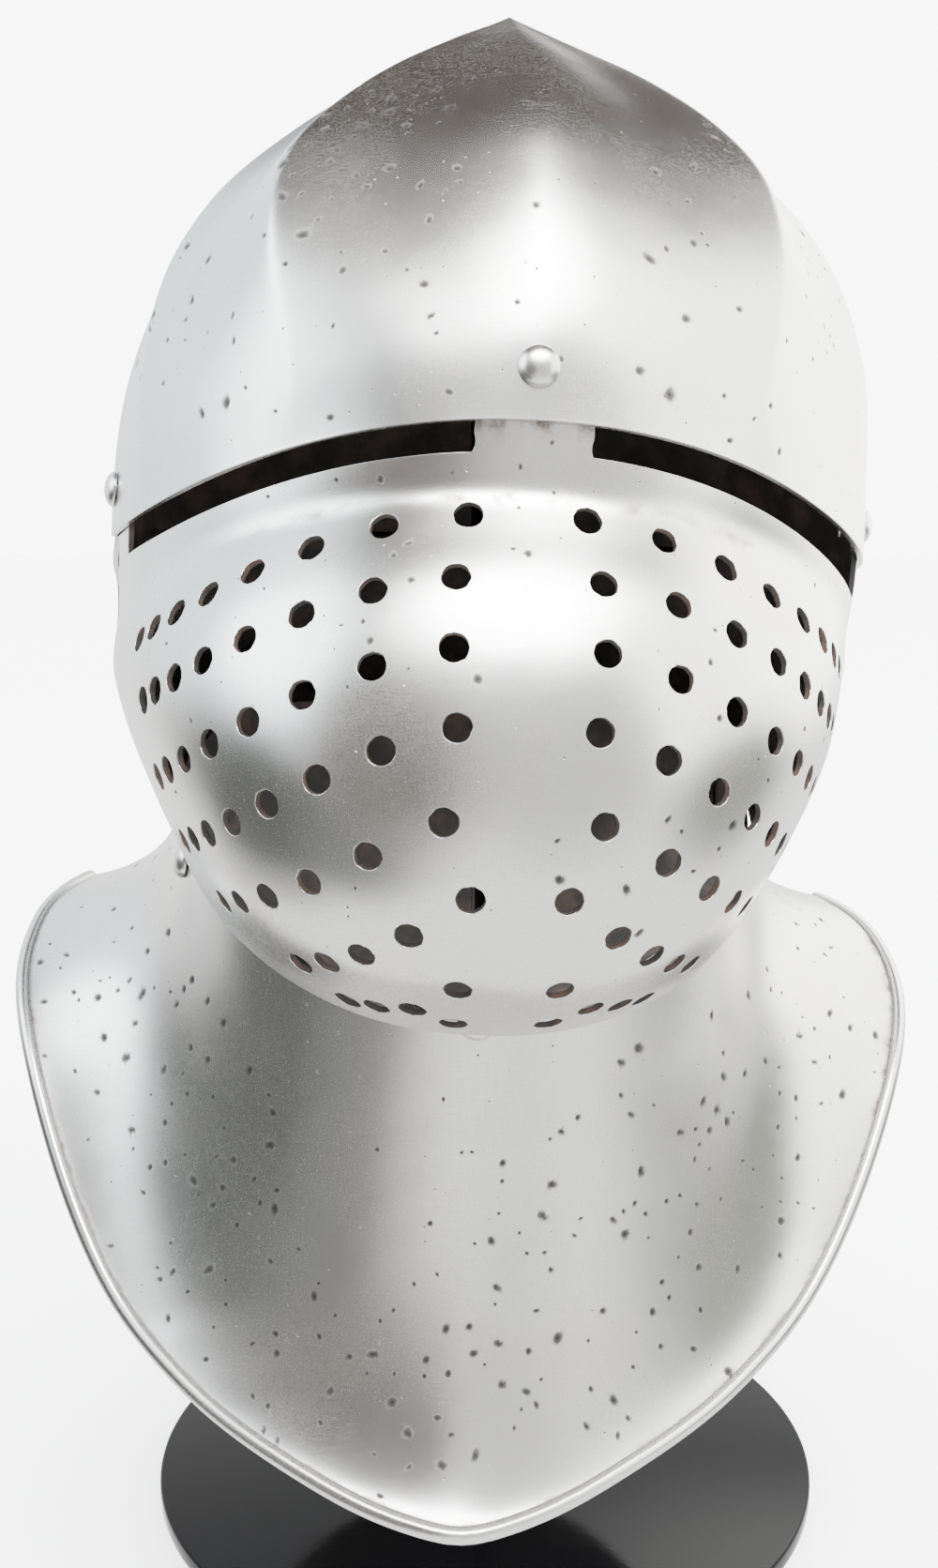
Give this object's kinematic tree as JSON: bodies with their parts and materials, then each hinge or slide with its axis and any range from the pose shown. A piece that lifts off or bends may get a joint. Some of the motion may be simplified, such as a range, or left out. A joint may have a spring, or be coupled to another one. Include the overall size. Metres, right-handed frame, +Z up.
{
  "type": "great bascinet on stand",
  "caption": "Steel foot-combat helmet with a fluted skull, a pierced globose face plate and a flared gorget, resting on a black disc stand with a slim post.",
  "frame": {"origin": "centre of the stand base's underside", "axes": "+Z up; the helmet looks along -Y and +X is to the viewer's right of the face"},
  "size_m": [0.3042, 0.31, 0.5138],
  "materials": {
    "bare_steel": "satin polished bare steel, pitted and lightly stained with age",
    "black_lacquer": "glossy black lacquer"
  },
  "bodies": {
    "root": {"skull": "bare_steel", "face_plate": "bare_steel", "gorget_front": "bare_steel", "gorget_back": "bare_steel", "brow_rivet": "bare_steel", "temple_rivet_left": "bare_steel", "temple_rivet_right": "bare_steel", "neck_rivet_front": "bare_steel", "neck_rivet_left": "bare_steel", "neck_rivet_right": "bare_steel", "stand_head": "black_lacquer", "stand_base": "black_lacquer", "stand_post": "black_lacquer"}
  },
  "joints": []
}
